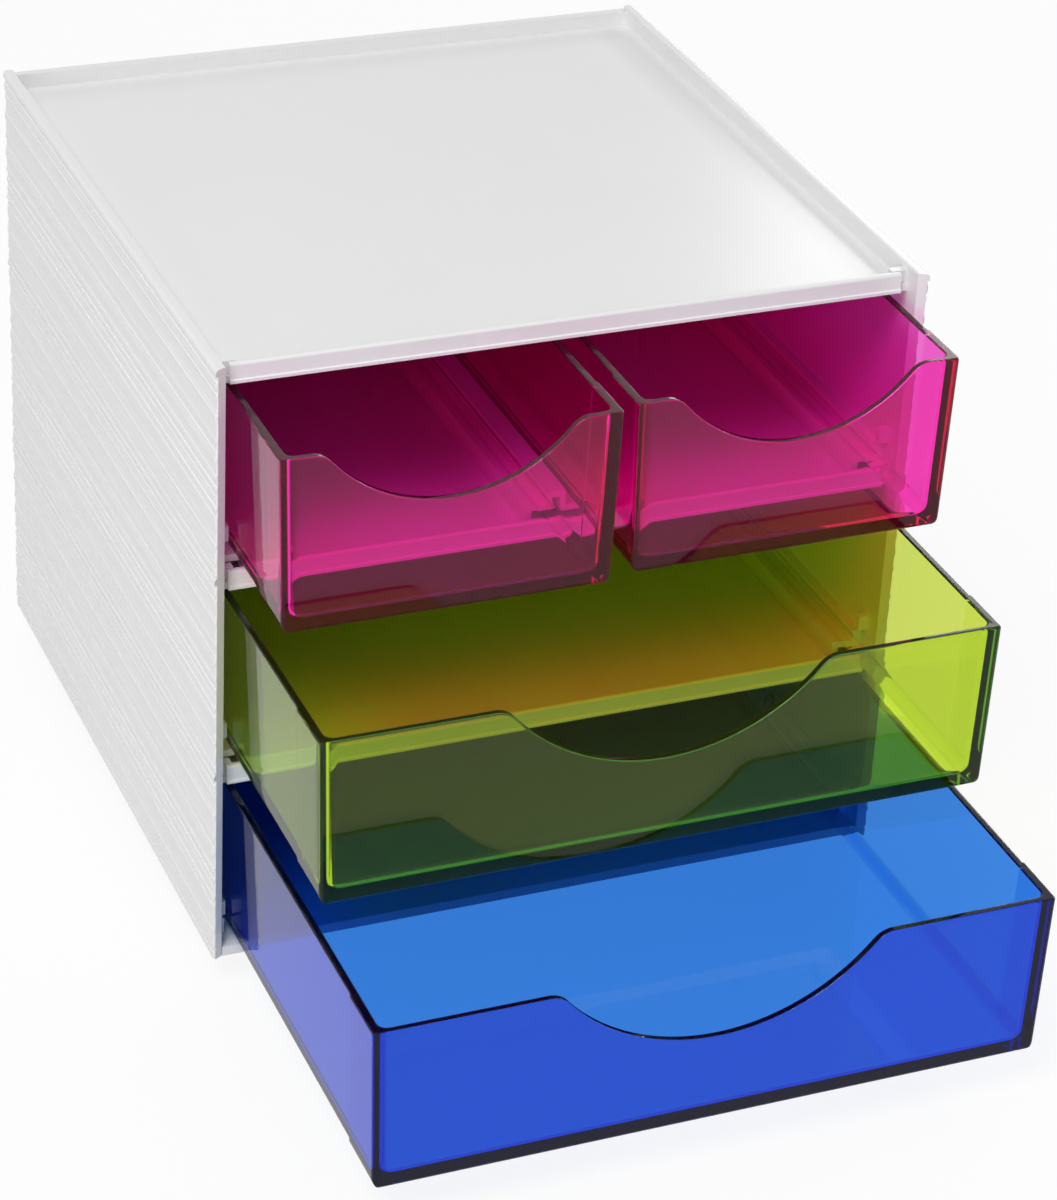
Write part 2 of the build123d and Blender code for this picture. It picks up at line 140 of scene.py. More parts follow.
def new_material(name):
    """A new material: itself, its node tree and its Principled shader."""
    material = bpy.data.materials.new(name)
    material.use_nodes = True
    return material, material.node_tree, material.node_tree.nodes["Principled BSDF"]


print("node helpers ready")

# %% [markdown]
# Moulded plastic is never quite even: the melt leaves faint clouds in the gloss, the surface has an
# orange-peel waviness, and handling leaves hairlines. All plastics here share one effect, so it is a
# group with named inputs, built once and placed in each material with its own values.

# %% Shared shader group: moulded surface
cloud_scale = 26.0
hairline_turn = (0.3, 0.2, 0.6)
hairline_stretch = (22.0, 700.0, 340.0)
hairline_threshold = 0.68

moulded = bpy.data.node_groups.new("moulded surface", "ShaderNodeTree")
declare(moulded, "INPUT", [
    ("Roughness", "Float", 0.2),
    ("Cloudiness", "Float", 0.1),
    ("Peel Size", "Float", 300.0),
    ("Peel Depth", "Float", 0.3),
    ("Scratches", "Float", 0.1),
])
declare(moulded, "OUTPUT", [("Roughness", "Float"), ("Shade", "Float"), ("Height", "Float")])


def build_moulded_surface(tree):
    given = add_node(tree, "NodeGroupInput").outputs
    place = add_node(tree, "ShaderNodeTexCoord").outputs["Object"]
    hair = {"Vector": place, "Rotation": hairline_turn, "Scale": hairline_stretch}
    stretched = add_node(tree, "ShaderNodeMapping", hair).outputs["Vector"]
    hairline = calc(tree, "GREATER_THAN", noise(tree, stretched, 1.0, 4.0), hairline_threshold)
    scratch = calc(tree, "MULTIPLY", hairline, given["Scratches"])
    centred = calc(tree, "SUBTRACT", noise(tree, place, cloud_scale, 3.0), 0.5)
    cloud = calc(tree, "MULTIPLY", centred, given["Cloudiness"])
    waves = calc(tree, "MULTIPLY", noise(tree, place, given["Peel Size"]), given["Peel Depth"])
    uneven = calc(tree, "ADD", given["Roughness"], cloud)
    add_node(tree, "NodeGroupOutput", {
        "Roughness": calc(tree, "ADD", uneven, scratch),
        "Shade": calc(tree, "ADD", 1.0, cloud),
        "Height": calc(tree, "SUBTRACT", waves, scratch),
    })


def mould_surface(tree, surface, relief, values):
    """Place the effect in a material and lead its gloss and its relief into the shader."""
    effect = add_node(tree, "ShaderNodeGroup", values, node_tree=moulded).outputs
    bump = add_node(tree, "ShaderNodeBump", {"Distance": relief * MM, "Height": effect["Height"]})
    feed(tree, surface, {"Normal": bump.outputs["Normal"], "Roughness": effect["Roughness"]})
    return effect["Shade"]


build_moulded_surface(moulded)
print("moulded surface:", len(moulded.nodes), "nodes")

# %% [markdown]
# The casing is glossy white styrene. A white that renders as it looks has a base colour near 0.8: pure
# white would glow. The shade varies by a percent or so, and the gloss a little more.

# %% Material: opaque plastics
opaque_relief = 0.02
opaque_scratches = 0.04


def opaque_plastic(name, colour, roughness, cloudiness, peel, specular=0.5):
    """Moulded plastic that hides what is behind it."""
    material, tree, surface = new_material(name)
    shade = mould_surface(tree, surface, opaque_relief, {
        "Roughness": roughness,
        "Cloudiness": cloudiness,
        "Peel Depth": peel,
        "Scratches": opaque_scratches,
    })
    tone = add_node(tree, "ShaderNodeHueSaturation", {"Color": (*colour, 1.0), "Value": shade})
    feed(tree, surface, {"Base Color": tone.outputs["Color"], "Specular IOR Level": specular})
    return material


casing_white = opaque_plastic("casing white", (0.80, 0.80, 0.805), 0.20, 0.03, 0.5)
swivel_grey = opaque_plastic("swivel plastic", (0.62, 0.62, 0.63), 0.38, 0.08, 0.8)
bearing_plastic = opaque_plastic("bearing plastic", (0.72, 0.70, 0.64), 0.45, 0.08, 0.8)
pad_rubber = opaque_plastic("pad rubber", (0.035, 0.036, 0.04), 0.75, 0.15, 2.5, specular=0.3)
print("opaque plastics:", casing_white.name, "|", swivel_grey.name, "|", pad_rubber.name)

# %% [markdown]
# The drawers are clear plastic with the dye in the melt, not on the surface. The dye takes light away
# over distance, so one wall looks bright, two look deeper, and an edge, where the eye looks along the
# wall, turns almost black. Volume absorption gives all of that at once. The melt is never wholly clear
# either: a little haze in the dye's deep tone keeps the edges coloured.
#
# Two liberties help the picture. The surface bends light less than real plastic does, because otherwise
# the reflected white room would veil the colours. And shadow rays and diffuse rays go straight through
# the surface, so light reaches the inside of the drawers, tinted by the dye. Diffuse rays meet a weaker
# dye, so that the white casing beside a drawer takes only a breath of its colour.

# %% Material: clear plastic
wall_of_drawer = 1.9
strongest_dye = 0.98
light_bending = 1.34
haze = 0.015
deep_tone = 4
diffuse_relief = 0.6
clear_relief = 0.01


def dyed(through):
    """Colour and density of a dye, from the share of red, green and blue that one wall lets through."""
    taken = [-math.log(share) / (wall_of_drawer * MM) for share in through]
    density = max(taken) / strongest_dye
    return [1.0 - each / density for each in taken], density


def clear_plastic(name, through):
    """Glass-clear plastic whose dye absorbs light along its way through the wall."""
    material, tree, surface = new_material(name)
    mould_surface(tree, surface, clear_relief, {
        "Roughness": 0.015,
        "Cloudiness": 0.02,
        "Peel Size": 90.0,
        "Peel Depth": 0.25,
        "Scratches": 0.03,
    })
    feed(tree, surface, {
        "Base Color": (1.0, 1.0, 1.0, 1.0),
        "Transmission Weight": 1.0,
        "IOR": light_bending,
    })
    milk = (*[share ** deep_tone for share in through], 1.0)
    milky = add_node(tree, "ShaderNodeBsdfDiffuse", {"Color": milk}).outputs["BSDF"]
    hazy = mixed(tree, haze, surface.outputs["BSDF"], milky)
    rays = add_node(tree, "ShaderNodeLightPath").outputs
    passing = calc(tree, "MAXIMUM", rays["Is Shadow Ray"], rays["Is Diffuse Ray"])
    straight = add_node(tree, "ShaderNodeBsdfTransparent").outputs["BSDF"]
    dye, density = dyed(through)
    weaker = calc(tree, "MULTIPLY_ADD", rays["Is Diffuse Ray"], -diffuse_relief * density, density)
    absorb = add_node(tree, "ShaderNodeVolumeAbsorption", {"Color": (*dye, 1.0), "Density": weaker})
    feed(tree, tree.nodes["Material Output"], {
        "Surface": mixed(tree, passing, hazy, straight),
        "Volume": absorb.outputs["Volume"],
    })
    return material


clear_pink = clear_plastic("clear pink", (0.985, 0.30, 0.78))
clear_green = clear_plastic("clear green", (0.79, 0.89, 0.25))
clear_blue = clear_plastic("clear blue", (0.12, 0.38, 0.87))
print("clear plastics:", clear_pink.name, "|", clear_green.name, "|", clear_blue.name)

# %% [markdown]
# The few metal pieces are inside the swivel: zinc-plated screws and polished bearing balls. Brushed or
# rolled steel has fine streaks in its gloss, which a stretched noise gives.

# %% Material: steel
streak_stretch = (900.0, 900.0, 4000.0)


def steel(name, colour, roughness, streak):
    """Steel with fine streaks in its gloss."""
    material, tree, surface = new_material(name)
    place = add_node(tree, "ShaderNodeTexCoord").outputs["Object"]
    stretched = add_node(tree, "ShaderNodeMapping", {"Vector": place, "Scale": streak_stretch})
    streaks = noise(tree, stretched.outputs["Vector"], 1.0)
    feed(tree, surface, {
        "Base Color": (*colour, 1.0),
        "Metallic": 1.0,
        "Roughness": calc(tree, "MULTIPLY_ADD", streaks, streak, roughness),
    })
    return material


screw_steel = steel("screw steel", (0.66, 0.67, 0.69), 0.22, 0.2)
ball_steel = steel("ball steel", (0.72, 0.72, 0.73), 0.06, 0.05)
print("steels:", screw_steel.name, "|", ball_steel.name)

# %% [markdown]
# Every piece is built in millimetres, with its place in the mesh, and ends at the origin in metres. A
# finished piece is smooth across its roundings and keeps its flat faces flat: edges sharper than a
# limit are marked, and the normals are weighted by the size of the faces.

# %% Helpers that finish a mesh
def new_object(name, mesh):
    made = bpy.data.objects.new(name, mesh)
    bpy.context.scene.collection.objects.link(made)
    return made


def from_bmesh(name, shape):
    """Turn a bmesh in millimetres into an object in metres, with its faces pointing out."""
    bmesh.ops.recalc_face_normals(shape, faces=shape.faces)
    bmesh.ops.scale(shape, vec=(MM, MM, MM), verts=shape.verts)
    mesh = bpy.data.meshes.new(name)
    shape.to_mesh(mesh)
    shape.free()
    return new_object(name, mesh)


def bake_modifiers(piece):
    """Replace a piece's mesh by what its modifiers make, and remove them."""
    graph = bpy.context.evaluated_depsgraph_get()
    result = bpy.data.meshes.new_from_object(piece.evaluated_get(graph))
    result.name = piece.name
    piece.modifiers.clear()
    piece.data = result


def smooth(piece, sharp_degrees=38.0):
    """Smooth shading that keeps sharp edges sharp and flat faces flat."""
    shape = bmesh.new()
    shape.from_mesh(piece.data)
    for face in shape.faces:
        face.smooth = True
    for edge in shape.edges:
        edge.smooth = edge.calc_face_angle(0.0) < math.radians(sharp_degrees)
    shape.to_mesh(piece.data)
    shape.free()
    weighted = piece.modifiers.new("even flats", "WEIGHTED_NORMAL")
    weighted.keep_sharp = True
    weighted.weight = 100
    bake_modifiers(piece)


def round_edges(piece, width, segments=3, limit_degrees=40.0):
    """Round every edge sharper than the limit, as a mould does."""
    bevel = piece.modifiers.new("rounded edges", "BEVEL")
    bevel.width = width * MM
    bevel.segments = segments
    bevel.limit_method = "ANGLE"
    bevel.angle_limit = math.radians(limit_degrees)
    bake_modifiers(piece)


def outward(piece):
    """Make every face of a closed mesh point outwards."""
    shape = bmesh.new()
    shape.from_mesh(piece.data)
    bmesh.ops.recalc_face_normals(shape, faces=shape.faces)
    shape.to_mesh(piece.data)
    shape.free()


def join(pieces, name):
    """Join finished pieces into one new piece."""
    shape = bmesh.new()
    for piece in pieces:
        shape.from_mesh(piece.data)
    mesh = bpy.data.meshes.new(name)
    shape.to_mesh(mesh)
    shape.free()
    for piece in pieces:
        bpy.data.objects.remove(piece)
    return new_object(name, mesh)


def clad(piece, material, body):
    """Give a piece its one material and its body."""
    piece.data.materials.clear()
    piece.data.materials.append(material)
    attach(piece, body)


print("finishing helpers ready")

# %% [markdown]
# The casing's walls and plates are all prisms: an outline carried along an axis. A block is the simplest
# of them. Outlines are drawn from straight pieces and arcs.

# %% Helpers that make a shape
def prism(shape, outline, axis, start, stop):
    """Add a closed prism: an outline of (across, height) points carried along X or Y."""
    rings = []
    for along in (start, stop):
        ring = []
        for across, height in outline:
            place = (along, across, height) if axis == "X" else (across, along, height)
            ring.append(shape.verts.new(place))
        rings.append(ring)
    near, far = rings
    shape.faces.new(near)
    shape.faces.new(list(reversed(far)))
    for index, corner in enumerate(near):
        after = (index + 1) % len(near)
        shape.faces.new((near[after], corner, far[index], far[after]))
    return near


def block(shape, across, along, heights):
    """Add a closed block, from its ranges in X, Y and Z."""
    x0, x1 = sorted(across)
    z0, z1 = heights
    prism(shape, [(x0, z0), (x1, z0), (x1, z1), (x0, z1)], "Y", *along)


def arc(centre, radius, first, last, steps):
    """Points on an arc, as (across, height)."""
    points = []
    for step in range(steps + 1):
        angle = math.radians(first + (last - first) * step / steps)
        points.append((centre[0] + radius * math.cos(angle), centre[1] + radius * math.sin(angle)))
    return points


print("shape helpers ready")

# %% [markdown]
# The sizes of the casing come from the frame: its outer box and the heights of the three housings. The
# thicknesses that the box doesn't show are the ones that the construction model was drawn with.

# %% Sizes of the casing
def box_mm(node):
    """Lowest and highest corner of a node, in millimetres."""
    low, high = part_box(node)
    return Vector(low) / MM, Vector(high) / MM


casing_low, casing_high = box_mm("bottom_housing")
outer_x = casing_high.x
front_y = casing_low.y
back_y = casing_high.y
pitch = casing_high.z - casing_low.z
storey_foot = [casing_low.z + level * pitch for level in range(3)]
side_wall = 2.75
back_wall = 2.0
inner_x = outer_x - side_wall
inner_back_y = back_y - back_wall
smooth_top = 1.8
top_round = 1.0
inner_top_round = 0.4
front_slant = 1.1
tray_drop = 4.9
shelf_thickness = 1.8
back_below_top = 0.8
seam_gap = 0.2
edge_round = 0.3
width = round(2 * outer_x, 1)
depth = round(back_y - front_y, 1)
print("casing", width, "x", depth, "mm, storeys of", round(pitch, 1), "mm")

# %% [markdown]
# Inside, each housing has what a drawer needs: a strip to be guided by, a runner to slide on, a fixed
# stop near the front that catches the drawer's nub, and ribs at the back that a closed drawer meets. The
# lip along the front of each shelf has its ends stepped back beside the side walls.

# %% Sizes of the lip, the guides and the stops
lip_front_y = front_y + 5.0
lip_thickness = 1.8
lip_back_y = lip_front_y + lip_thickness
lip_below_top = 1.5
lip_height = 5.0
lip_front_round = 0.7
lip_back_round = 0.6
lip_bead = 0.35
lip_bead_height = 0.8
lip_bead_slope = 0.2
lip_notch = 2.2
web_depth = 2.2

drawer_side_gap = 2.05
wide_width = 2 * (inner_x - drawer_side_gap)
half_gap = 4.2
front_band_step = 0.4
half_width = (wide_width - 2 * front_band_step - half_gap) / 2
guide_slack = 0.45
guide_x = wide_width / 2 - guide_slack
guide_height = 4.5
base_plate_thickness = 2.6
base_play = 0.1

runner_width = 9.0
runner_skin = 1.8
runner_top = 0.5
stack_play = 0.1

stop_setback = 6.0
stop_length = 2.0
stop_height = 4.0
stop_above_guide = 1.5

rear_stop = 2.7
rear_stop_width = 12.0
rear_stop_height = 30.0
rear_stop_foot = 5.9
half_drawer_middle = 43.5


def guide_foot(level):
    """Foot of the guide strips above their storey's foot; the lowest ones stand on the base plate."""
    return base_plate_thickness if level == 0 else 0.0


def stop_foot(level):
    """Height at which a storey's fixed stops begin."""
    return storey_foot[level] + guide_foot(level) + guide_height + stop_above_guide


print("drawers", round(wide_width, 1), "and", round(half_width, 1), "mm wide, stops from",
      [round(stop_foot(level), 1) for level in range(3)])

# %% [markdown]
# The sides of the casing are covered in fine uneven bands, the mark of this kind of organizer. Their
# heights follow a rule: the golden ratio spreads them evenly between narrow and wide, and a power makes
# most of them narrow. Two more runs of the rule, with other roots, set how deep each band lies and which
# way its face leans. That is work for Geometry Nodes: one grid per wall, with its rows placed by index,
# so that every band can be changed by a named input.

# %% Geometry Nodes: inputs of the ribbed wall
POINTS_PER_BAND = 4
ARC_STEPS = 4
COLUMNS = 2 * (ARC_STEPS + 1)
GOLDEN = (math.sqrt(5) - 1) / 2

ribbed_wall = bpy.data.node_groups.new("ribbed wall", "GeometryNodeTree")
ribbed_wall.is_modifier = True
declare(ribbed_wall, "INPUT", [
    ("Bands", "Int", 28),
    ("Foot", "Float"),
    ("Height", "Float"),
    ("Face", "Float"),
    ("Backing", "Float"),
    ("Front", "Float"),
    ("Back", "Float"),
    ("Depth", "Float"),
    ("Step", "Float"),
    ("Lean", "Float"),
    ("Narrow", "Float"),
    ("Wide", "Float"),
    ("End Radius", "Float"),
    ("Finish", "Material"),
])
declare(ribbed_wall, "OUTPUT", [("Geometry", "Geometry")])
print("ribbed wall:", len(ribbed_wall.interface.items_tree), "named inputs and outputs")

# %% [markdown]
# A grid's points are numbered up one column and then up the next. From its number a point finds its
# column, which says how far along the wall it is, its band, and which of the band's four corners it is.

# %% Geometry Nodes: which band a point belongs to
def whole_steps(tree, count, step):
    """How many whole steps fit in a count."""
    return calc(tree, "FLOOR", calc(tree, "DIVIDE", calc(tree, "ADD", count, 0.5), step))


def wall_grid(tree, given):
    """A grid, and each point's column, band and corner."""
    rows = calc(tree, "MULTIPLY_ADD", given["Bands"], POINTS_PER_BAND, 1.0)
    grid = add_node(tree, "GeometryNodeMeshGrid", {"Vertices X": COLUMNS, "Vertices Y": rows})
    index = add_node(tree, "GeometryNodeInputIndex").outputs[0]
    column = whole_steps(tree, index, rows)
    row = calc(tree, "SUBTRACT", index, calc(tree, "MULTIPLY", column, rows))
    band = whole_steps(tree, row, POINTS_PER_BAND)
    corner = calc(tree, "SUBTRACT", row, calc(tree, "MULTIPLY", band, POINTS_PER_BAND))
    return grid.outputs["Mesh"], column, band, corner


def spread(tree, band, factor):
    """Evenly spread value between 0 and 1 for each band, from an irrational factor."""
    return calc(tree, "FRACT", calc(tree, "MULTIPLY", calc(tree, "ADD", band, 1.0), factor))


def pick(tree, index, values):
    """One of several values, chosen by an index."""
    switch = add_node(tree, "GeometryNodeIndexSwitch", data_type="FLOAT")
    while len(switch.index_switch_items) < len(values):
        switch.index_switch_items.new()
    feed(tree, switch, dict(enumerate((index, *values))))
    return switch.outputs[0]


print(COLUMNS, "columns,", POINTS_PER_BAND, "points per band")

# %% [markdown]
# Each band gets a weight from the rule, and the weights are scaled to fill the wall. A running total up
# the column gives the height where each band starts. The four corners of a band then make its profile:
# a short rise, a leaning face and a short fall.

# %% Geometry Nodes: height and depth of the bands
largest_step_share = 0.25


def band_heights(tree, given, column, band, corner):
    """Where each point's band starts, and how high it is."""
    cubed = calc(tree, "POWER", spread(tree, band, GOLDEN), 3.0)
    span = calc(tree, "SUBTRACT", given["Wide"], given["Narrow"])
    real = calc(tree, "LESS_THAN", band, given["Bands"])
    weight = calc(tree, "MULTIPLY", calc(tree, "MULTIPLY_ADD", cubed, span, given["Narrow"]), real)
    first = calc(tree, "LESS_THAN", corner, 0.5)
    counted = {"Value": calc(tree, "MULTIPLY", weight, first), "Group ID": column}
    settings = {"data_type": "FLOAT", "domain": "POINT"}
    running = add_node(tree, "GeometryNodeAccumulateField", counted, **settings).outputs
    unit = calc(tree, "DIVIDE", given["Height"], running["Total"])
    below = calc(tree, "SUBTRACT", running["Leading"], weight)
    return calc(tree, "MULTIPLY", below, unit), calc(tree, "MULTIPLY", weight, unit)


def band_profile(tree, given, band, corner, height):
    """How far each corner of a band lies inwards, and how far up."""
    level = spread(tree, band, math.sqrt(2))
    sink = calc(tree, "MULTIPLY", level, calc(tree, "SUBTRACT", given["Depth"], given["Lean"]))
    tilt = calc(tree, "MULTIPLY_ADD", spread(tree, band, math.sqrt(7)), 2.0, -1.0)
    tilt = calc(tree, "MULTIPLY", tilt, given["Lean"])
    other_tilt = calc(tree, "MULTIPLY", tilt, -1.0)
    low_face = calc(tree, "ADD", sink, calc(tree, "MAXIMUM", other_tilt, 0.0))
    high_face = calc(tree, "ADD", sink, calc(tree, "MAXIMUM", tilt, 0.0))
    largest_step = calc(tree, "MULTIPLY", height, largest_step_share)
    step = calc(tree, "MINIMUM", given["Step"], largest_step)
    half_step = calc(tree, "MULTIPLY", step, 0.5)
    full_height = calc(tree, "SUBTRACT", height, step)
    last_height = calc(tree, "SUBTRACT", height, half_step)
    inward = pick(tree, corner, [low_face, low_face, high_face, high_face])
    climb = pick(tree, corner, [half_step, step, full_height, last_height])
    return inward, climb


print("bands rise within", largest_step_share, "of their height at most")

# %% [markdown]
# At the front and the back of the wall the bands turn inwards on a quarter round, so the wall's upright
# edges look moulded and not sawn. The outer columns of the grid are placed on those two arcs.

# %% Geometry Nodes: rounded ends
def rounded_ends(tree, given, column):
    """How far a column lies inwards, and its place along the wall."""
    from_far_end = calc(tree, "SUBTRACT", COLUMNS - 1.0, column)
    from_end = calc(tree, "MINIMUM", column, from_far_end)
    turn = calc(tree, "MULTIPLY", calc(tree, "DIVIDE", from_end, ARC_STEPS), math.pi / 2)
    radius = given["End Radius"]
    inward = calc(tree, "MULTIPLY", calc(tree, "SUBTRACT", 1.0, calc(tree, "SINE", turn)), radius)
    inset = calc(tree, "MULTIPLY", calc(tree, "SUBTRACT", 1.0, calc(tree, "COSINE", turn)), radius)
    along = add_node(tree, "GeometryNodeSwitch", {
        0: calc(tree, "GREATER_THAN", column, ARC_STEPS + 0.5),
        1: calc(tree, "ADD", given["Front"], inset),
        2: calc(tree, "SUBTRACT", given["Back"], inset),
    }, input_type="FLOAT")
    return inward, along.outputs[0]


print("ends turn in", ARC_STEPS, "steps")

# %% [markdown]
# The placed grid is only a sheet. Extruded inwards, with the sheet itself turned over to close the
# front, it becomes a thin solid skin. A mirrored twin serves the other side of the casing. The tree ends
# in Realize Instances and Set Material, so that nothing is lost when it is baked.

# %% Geometry Nodes: the whole tree
depth_slack = 0.05
weld_distance = 0.001


def joined(tree, first, second):
    """Two geometries as one."""
    both = add_node(tree, "GeometryNodeJoinGeometry")
    for geometry in (first, second):
        feed(tree, both, {0: geometry})
    return both.outputs["Geometry"]


def closed_skin(tree, sheet, thickness):
    """Give a sheet a back and sides, as one closed solid."""
    inwards = add_node(tree, "ShaderNodeCombineXYZ", {"X": -1.0})
    backed = add_node(tree, "GeometryNodeExtrudeMesh", {
        "Mesh": sheet,
        "Offset": inwards.outputs[0],
        "Offset Scale": thickness,
        "Individual": False,
    }, mode="FACES")
    flipped = add_node(tree, "GeometryNodeFlipFaces", {"Mesh": sheet})
    welded = add_node(tree, "GeometryNodeMergeByDistance", {
        "Geometry": joined(tree, backed.outputs["Mesh"], flipped.outputs["Mesh"]),
        "Distance": weld_distance * MM,
    })
    return welded.outputs["Geometry"]


def with_twin(tree, wall):
    """A wall and its mirror image on the other side."""
    twin = add_node(tree, "GeometryNodeTransform", {"Geometry": wall, "Scale": (-1.0, 1.0, 1.0)})
    return joined(tree, wall, twin.outputs["Geometry"])


def build_ribbed_wall(tree):
    given = add_node(tree, "NodeGroupInput").outputs
    grid, column, band, corner = wall_grid(tree, given)
    start, height = band_heights(tree, given, column, band, corner)
    inward, climb = band_profile(tree, given, band, corner, height)
    end_inward, along = rounded_ends(tree, given, column)
    deepest = calc(tree, "ADD", given["Depth"], depth_slack * MM)
    depth = calc(tree, "MINIMUM", calc(tree, "ADD", inward, end_inward), deepest)
    place = add_node(tree, "ShaderNodeCombineXYZ", {
        "X": calc(tree, "SUBTRACT", given["Face"], depth),
        "Y": along,
        "Z": calc(tree, "ADD", given["Foot"], calc(tree, "ADD", start, climb)),
    }).outputs[0]
    placed = add_node(tree, "GeometryNodeSetPosition", {"Geometry": grid, "Position": place})
    wall = closed_skin(tree, placed.outputs["Geometry"], given["Backing"])
    real_mesh = add_node(tree, "GeometryNodeRealizeInstances", {"Geometry": with_twin(tree, wall)})
    finish = add_node(tree, "GeometryNodeSetMaterial", {
        "Geometry": real_mesh.outputs["Geometry"],
        "Material": given["Finish"],
    })
    add_node(tree, "NodeGroupOutput", {"Geometry": finish.outputs["Geometry"]})


build_ribbed_wall(ribbed_wall)
print("ribbed wall:", len(ribbed_wall.nodes), "nodes")

# %% [markdown]
# The tree runs once for each storey. Its inputs are set by the sockets' identifiers before the object is
# first evaluated, and the result is baked to a plain mesh. Mirroring turns a twin inside out, so its
# faces are made to point outwards again.

# %% Run the tree for one storey
rib_depth = 0.6
band_count = 28
band_narrow = 0.55
band_wide = 2.1
band_step = 0.22
band_lean = 0.12
band_end_round = 0.5
skin_thickness = 0.2
skin_inset = 0.1
seam_bevel = 0.35


def run_tree(name, tree, inputs):
    """Run a Geometry Nodes tree with named inputs and keep the mesh that it makes."""
    piece = new_object(name, bpy.data.meshes.new(name))
    modifier = piece.modifiers.new(name, "NODES")
    modifier.node_group = tree
    sockets = [item for item in tree.interface.items_tree if item.in_out == "INPUT"]
    identifiers = {item.name: item.identifier for item in sockets}
    for label, value in inputs.items():
        modifier[identifiers[label]] = value
    bake_modifiers(piece)
    return piece


def ribbed_skin(name, z0):
    """Ribbed skins of both side walls of the storey that starts at a height."""
    skin = run_tree(name, ribbed_wall, {
        "Bands": band_count,
        "Foot": (z0 + seam_bevel) * MM,
        "Height": (pitch - seam_bevel - smooth_top) * MM,
        "Face": outer_x * MM,
        "Backing": skin_thickness * MM,
        "Front": (front_y + skin_inset) * MM,
        "Back": (back_y - skin_inset) * MM,
        "Depth": rib_depth * MM,
        "Step": band_step * MM,
        "Lean": band_lean * MM,
        "Narrow": band_narrow,
        "Wide": band_wide,
        "End Radius": band_end_round * MM,
        "Finish": casing_white,
    })
    outward(skin)
    return skin


print(band_count, "bands to a storey, at most", rib_depth, "mm deep")

# %% [markdown]
# A housing is one moulding: two side walls, a back wall, a shelf, and a lip along the shelf's front. The
# front of each side wall leans back towards the drawers, which is why it catches less light. The lip has
# rounded edges and a fine bead along its foot.

# %% Casing: walls, lip and runners
def side_wall_shape(shape, z0, side):
    """Smooth core of one side wall, with the plain strip and the rounded top above its ribs."""
    z1 = z0 + pitch
    core_x = outer_x - rib_depth
    strip = z1 - smooth_top
    outline = [(inner_x, z0), (core_x, z0), (core_x, strip), (outer_x, strip)]
    outline += arc((outer_x - top_round, z1 - top_round), top_round, 0, 90, 5)
    outline += arc((inner_x + inner_top_round, z1 - inner_top_round), inner_top_round, 90, 180, 3)
    near = prism(shape, [(side * across, height) for across, height in outline], "Y", front_y, back_y)
    for corner in near:
        inset = max(core_x - abs(corner.co.x), 0.0) / (core_x - inner_x)
        corner.co.y += front_slant * inset


def lip_shape(shape, z1):
    """Front lip of a shelf, with its bead, and the stepped-back web behind its ends."""
    top = z1 - lip_below_top
    foot = top - lip_height
    half = inner_x - lip_notch
    bead_y = lip_front_y - lip_bead
    bead_top = foot + lip_bead_height
    profile = [(bead_y, foot), (lip_back_y, foot)]
    profile += arc((lip_back_y - lip_back_round, top - lip_back_round), lip_back_round, 0, 90, 4)
    profile += arc((lip_front_y + lip_front_round, top - lip_front_round), lip_front_round, 90, 180, 5)
    profile += [(lip_front_y, bead_top + lip_bead_slope), (bead_y, bead_top)]
    prism(shape, profile, "X", -half, half)
    for side in (-1, 1):
        across = (side * (half - lip_thickness), side * inner_x)
        block(shape, across, (lip_back_y, lip_back_y + web_depth), (foot, top))


def runner_shape(shape, z0, side):
    """Hat-shaped runner at the foot of a side wall, which carries the drawer above."""
    foot = z0 - tray_drop + stack_play
    edge_x = inner_x - runner_width
    top = z0 + runner_top
    under = top - runner_skin
    tucked_x = inner_x - stack_play
    guide_top = z0 + guide_height
    outline = [
        (edge_x, foot), (edge_x + runner_skin, foot), (edge_x + runner_skin, under),
        (guide_x, under), (guide_x, foot), (tucked_x, foot), (tucked_x, z0), (inner_x, z0),
        (inner_x, guide_top), (guide_x, guide_top), (guide_x, top), (edge_x, top),
    ]
    front = lip_back_y + web_depth + stack_play
    prism(shape, [(side * across, height) for across, height in outline], "Y", front, inner_back_y)


print("walls, lip and runners are ready to be placed")

# %% [markdown]
# The three housings differ little. The lowest stands on the base plate and has plain guide strips, the
# others drop their runners into the tray below, and the highest has two drawers to stop instead of one.
# Each is joined with its ribbed skin and takes the place of its construction piece.

# %% Casing: the three housings
def guides_and_stops(shape, level):
    """What a storey's drawers slide on and stop against."""
    z0 = storey_foot[level]
    for side in (-1, 1):
        across = (side * guide_x, side * inner_x)
        if level > 0:
            runner_shape(shape, z0, side)
        else:
            strip_foot = z0 + base_plate_thickness + base_play
            strip_top = z0 + base_plate_thickness + guide_height
            block(shape, across, (lip_back_y, inner_back_y), (strip_foot, strip_top))
        stop_front = front_y + stop_setback
        stop_low = stop_foot(level)
        block(shape, across, (stop_front, stop_front + stop_length), (stop_low, stop_low + stop_height))
    rear_foot = z0 + rear_stop_foot
    for centre in [0.0] if level < 2 else [-half_drawer_middle, half_drawer_middle]:
        across = (centre - rear_stop_width / 2, centre + rear_stop_width / 2)
        along = (inner_back_y - rear_stop, inner_back_y)
        block(shape, across, along, (rear_foot, rear_foot + rear_stop_height))


